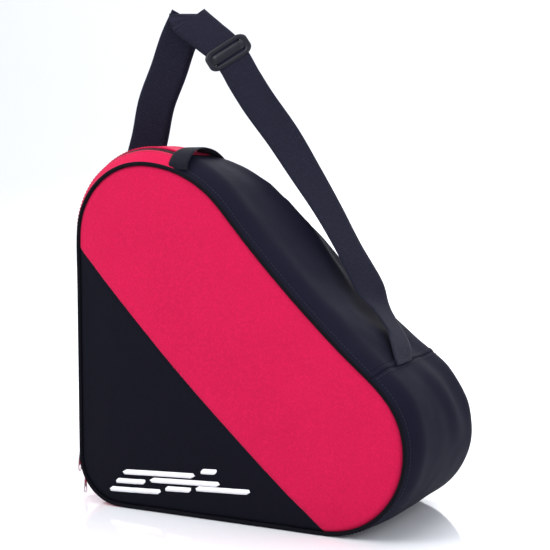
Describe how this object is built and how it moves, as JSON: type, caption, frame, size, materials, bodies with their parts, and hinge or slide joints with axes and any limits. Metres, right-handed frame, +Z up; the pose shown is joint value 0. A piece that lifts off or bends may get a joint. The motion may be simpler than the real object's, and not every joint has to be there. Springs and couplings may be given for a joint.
{
  "type": "skate bag",
  "caption": "Wedge-shaped soft bag for skates with a zipped heel side, piped panels, carry handle and adjustable shoulder strap.",
  "frame": {"origin": "centre of the flat base, on the surface the bag stands on", "axes": "+Z up, +X along the front panel from the upright zipped side towards the nose, +Y from the front panel to the rear panel"},
  "size_m": [0.4391, 0.2046, 0.573],
  "materials": {
    "red_fabric": "woven polyester",
    "black_fabric": "woven polyester",
    "gusset_fabric": "woven polyester",
    "piping": "bias tape over cord",
    "foam": "closed-cell foam",
    "binding": "woven tape",
    "board": "moulded sheet",
    "zip_tape": "woven tape with nylon coil",
    "zip_metal": "nickel-plated zinc",
    "handle_webbing": "flat woven webbing",
    "strap_webbing": "ribbed woven webbing",
    "buckle_plastic": "moulded acetal"
  },
  "bodies": {
    "bag": {"front_panel_red": "red_fabric", "front_panel_black": "black_fabric", "front_foam_sheet": "foam", "front_piping": "piping", "rear_panel": "black_fabric", "rear_foam_sheet": "foam", "rear_piping": "piping", "gusset_diagonal": "gusset_fabric", "gusset_nose_and_base": "gusset_fabric", "top_strip_front": "red_fabric", "top_strip_rear": "red_fabric", "corner_strip_front": "red_fabric", "corner_strip_rear": "red_fabric", "side_wall_rear": "red_fabric", "zip_half_front_top": "zip_tape", "zip_half_rear_top": "zip_tape", "zip_half_front_corner": "zip_tape", "zip_half_rear_corner": "zip_tape", "zip_bottom_stop": "zip_metal", "zip_top_stop": "zip_metal", "front_seam_binding": "binding", "rear_seam_binding": "binding", "base_board": "board", "handle_foot_front": "handle_webbing", "handle_foot_rear": "handle_webbing", "strap_sewn_end": "strap_webbing", "strap_anchor_tab": "strap_webbing"},
    "front_flap": {"front_zip_flap": "red_fabric", "zip_half_front_side": "zip_tape"},
    "rear_flap": {"rear_zip_flap": "red_fabric", "zip_half_rear_side": "zip_tape"},
    "upper_slider": {"upper_slider": "zip_metal"},
    "upper_pull": {"upper_pull": "zip_metal"},
    "lower_slider": {"lower_slider": "zip_metal"},
    "lower_pull": {"lower_pull": "zip_metal"},
    "handle": {"carry_handle": "handle_webbing"},
    "strap": {"strap_webbing": "strap_webbing", "strap_return_webbing": "strap_webbing", "strap_ring": "buckle_plastic"},
    "adjuster": {"strap_adjuster": "buckle_plastic", "strap_return_end": "strap_webbing"}
  },
  "joints": [
    {"name": "upper_zip_slide", "type": "slide", "parent": "bag", "child": "upper_slider", "axis": [0, 0, 1], "range_m": [0, 0.235]},
    {"name": "front_flap_fold", "type": "hinge", "parent": "bag", "child": "front_flap", "pos_m": [-0.1869, -0.0971, 0.181], "axis": [0, 0, 1], "range_deg": [0, 96]},
    {"name": "rear_flap_fold", "type": "hinge", "parent": "bag", "child": "rear_flap", "pos_m": [-0.2006, -0.04415, 0.181], "axis": [0, 0, -1], "range_deg": [0, 111]},
    {"name": "upper_pull_swing", "type": "hinge", "parent": "upper_slider", "child": "upper_pull", "pos_m": [-0.20106, -0.08, 0.052], "axis": [0, 1, 0], "range_deg": [0, 150]},
    {"name": "lower_zip_slide", "type": "slide", "parent": "bag", "child": "lower_slider", "axis": [0.5, 0, -0.866], "range_m": [0, 0.004]},
    {"name": "lower_pull_swing", "type": "hinge", "parent": "lower_slider", "child": "lower_pull", "pos_m": [-0.19321, -0.08, 0.0267], "axis": [0, 1, 0], "range_deg": [0, 65]},
    {"name": "handle_swing", "type": "hinge", "parent": "bag", "child": "handle", "pos_m": [-0.0515, -0.05, 0.4043], "axis": [0, 1, 0], "range_deg": [-25, 25]},
    {"name": "strap_swing", "type": "hinge", "parent": "bag", "child": "strap", "pos_m": [-0.17166, 0.01511, 0.3785], "axis": [0.9062, -0.0491, -0.42], "range_deg": [-25, 25]},
    {"name": "adjuster_slide", "type": "slide", "parent": "strap", "child": "adjuster", "axis": [0.5758, -0.007, -0.8176], "range_m": [0, 0.13]}
  ]
}
